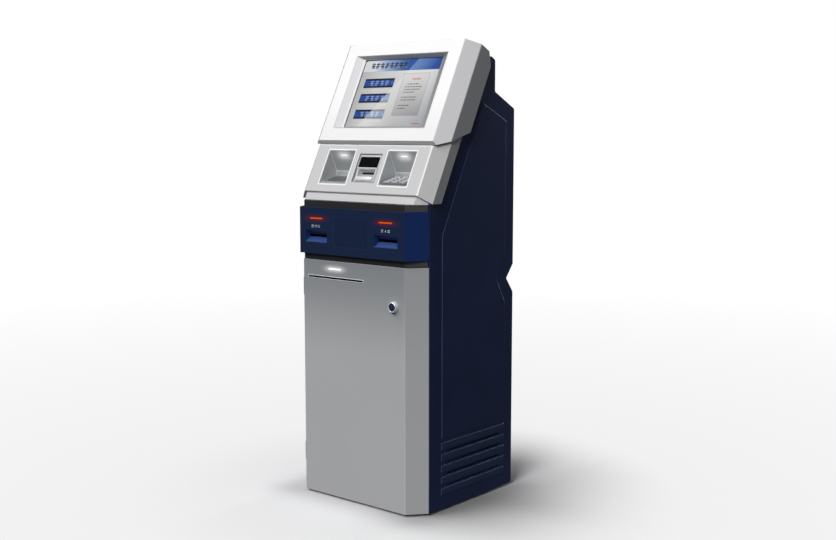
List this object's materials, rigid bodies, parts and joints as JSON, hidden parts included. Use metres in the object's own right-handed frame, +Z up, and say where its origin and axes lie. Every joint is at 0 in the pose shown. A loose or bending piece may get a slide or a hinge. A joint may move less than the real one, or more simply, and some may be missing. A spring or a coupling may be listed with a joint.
{
  "type": "self-service bank terminal",
  "caption": "Free-standing bank terminal with a tilted touch screen head, a console with two lit bays and a card reader, a slot band and a locking cabinet door.",
  "frame": {"origin": "centre of the footprint's bounding box, on the floor", "axes": "+Z up; the user stands on the -Y side and faces +Y; +X to the user's right"},
  "size_m": [0.5754, 0.514, 1.5],
  "materials": {
    "navy_paint": "satin, very dark navy",
    "grey_paint": "satin mid grey",
    "white_paint": "satin white with a fine grain",
    "black_paint": "matt black",
    "band_blue": "satin navy blue",
    "zinc_steel": "zinc plated sheet",
    "brushed_metal": "brushed",
    "lock_chrome": "polished",
    "dark_plug": "dark navy",
    "key_metal": "brushed keys",
    "liner_grey": "mid grey",
    "black_window": "glossy black",
    "screen_face": "lit display behind a glass front",
    "white_lens": "lit white lens",
    "amber_lens": "lit amber lens",
    "foot_rubber": "matt black",
    "black_plastic": "matt black",
    "roll_paper": "white thermal paper"
  },
  "bodies": {
    "cabinet": {"side_panel_left": "navy_paint", "side_panel_right": "navy_paint", "rear_lower_panel": "navy_paint", "rear_grip_channel": "navy_paint", "rear_upper_panel": "navy_paint", "rear_hood": "navy_paint", "base_tray": "zinc_steel", "foot_front_left": "foot_rubber", "foot_front_right": "foot_rubber", "foot_rear_left": "foot_rubber", "foot_rear_right": "foot_rubber", "equipment_shelf": "zinc_steel", "door_hinge_lower": "zinc_steel", "door_hinge_upper": "zinc_steel", "fascia_carrier": "black_paint", "slot_band": "band_blue", "band_centre_plate": "band_blue", "slot_insert_left": "band_blue", "slot_insert_right": "band_blue", "amber_light_left": "amber_lens", "amber_light_right": "amber_lens", "console_shell": "white_paint", "bay_liner_left": "liner_grey", "bay_liner_right": "liner_grey", "bay_lamp_left": "white_lens", "bay_lamp_right": "white_lens", "card_reader_bezel": "liner_grey", "card_reader_display": "black_window", "card_reader_throat": "brushed_metal", "pin_pad_frame": "brushed_metal", "document_scanner_window": "black_window", "head_hinge_rod": "zinc_steel", "computer": "black_paint", "statement_printer": "liner_grey", "fan_frame": "black_plastic"},
    "door": {"front_door": "grey_paint", "statement_slot_bezel": "grey_paint", "door_lamp_lens": "white_lens", "lock_housing": "lock_chrome"},
    "lock": {"lock_plug": "dark_plug", "lock_cam": "zinc_steel"},
    "head": {"head_shell": "white_paint", "screen_surround": "white_paint", "touch_screen": "screen_face", "display_module": "zinc_steel"},
    "roll": {"paper_roll": "roll_paper"},
    "cassette": {"cash_cassette": "zinc_steel"},
    "fan": {"fan_rotor": "black_plastic"},
    "key_1": {"key_1": "key_metal"},
    "key_2": {"key_2": "key_metal"},
    "key_3": {"key_3": "key_metal"},
    "key_4": {"key_4": "key_metal"},
    "key_5": {"key_5": "key_metal"},
    "key_6": {"key_6": "key_metal"},
    "key_7": {"key_7": "key_metal"},
    "key_8": {"key_8": "key_metal"},
    "key_9": {"key_9": "key_metal"},
    "key_cancel": {"key_cancel": "key_metal"},
    "key_0": {"key_0": "key_metal"},
    "key_enter": {"key_enter": "key_metal"}
  },
  "joints": [
    {"name": "front_door_hinge", "type": "hinge", "parent": "cabinet", "child": "door", "pos_m": [-0.274, -0.189, 0.39], "axis": [0, 0, -1], "range_deg": [0, 110]},
    {"name": "lock_turn", "type": "hinge", "parent": "door", "child": "lock", "pos_m": [0.1758, -0.245, 0.6662], "axis": [0, 1, 0], "range_deg": [0, 90]},
    {"name": "head_hinge", "type": "hinge", "parent": "cabinet", "child": "head", "pos_m": [0, 0.11793, 1.44146], "axis": [-1, 0, 0], "range_deg": [0, 40]},
    {"name": "paper_roll_spin", "type": "hinge", "parent": "cabinet", "child": "roll", "pos_m": [-0.07625, -0.005, 0.795], "axis": [1, 0, 0], "continuous": true},
    {"name": "fan_spin", "type": "hinge", "parent": "cabinet", "child": "fan", "pos_m": [0.1, 0.239, 1.13], "axis": [0, 1, 0], "continuous": true},
    {"name": "cassette_slide", "type": "slide", "parent": "cabinet", "child": "cassette", "axis": [0, -1, 0], "range_m": [0, 0.03]},
    {"name": "key_1_press", "type": "slide", "parent": "cabinet", "child": "key_1", "axis": [0, 0.2322, -0.9727], "range_m": [0, 0.0015]},
    {"name": "key_2_press", "type": "slide", "parent": "cabinet", "child": "key_2", "axis": [0, 0.2322, -0.9727], "range_m": [0, 0.0015]},
    {"name": "key_3_press", "type": "slide", "parent": "cabinet", "child": "key_3", "axis": [0, 0.2322, -0.9727], "range_m": [0, 0.0015]},
    {"name": "key_4_press", "type": "slide", "parent": "cabinet", "child": "key_4", "axis": [0, 0.2322, -0.9727], "range_m": [0, 0.0015]},
    {"name": "key_5_press", "type": "slide", "parent": "cabinet", "child": "key_5", "axis": [0, 0.2322, -0.9727], "range_m": [0, 0.0015]},
    {"name": "key_6_press", "type": "slide", "parent": "cabinet", "child": "key_6", "axis": [0, 0.2322, -0.9727], "range_m": [0, 0.0015]},
    {"name": "key_7_press", "type": "slide", "parent": "cabinet", "child": "key_7", "axis": [0, 0.2322, -0.9727], "range_m": [0, 0.0015]},
    {"name": "key_8_press", "type": "slide", "parent": "cabinet", "child": "key_8", "axis": [0, 0.2322, -0.9727], "range_m": [0, 0.0015]},
    {"name": "key_9_press", "type": "slide", "parent": "cabinet", "child": "key_9", "axis": [0, 0.2322, -0.9727], "range_m": [0, 0.0015]},
    {"name": "key_cancel_press", "type": "slide", "parent": "cabinet", "child": "key_cancel", "axis": [0, 0.2322, -0.9727], "range_m": [0, 0.0015]},
    {"name": "key_0_press", "type": "slide", "parent": "cabinet", "child": "key_0", "axis": [0, 0.2322, -0.9727], "range_m": [0, 0.0015]},
    {"name": "key_enter_press", "type": "slide", "parent": "cabinet", "child": "key_enter", "axis": [0, 0.2322, -0.9727], "range_m": [0, 0.0015]}
  ]
}
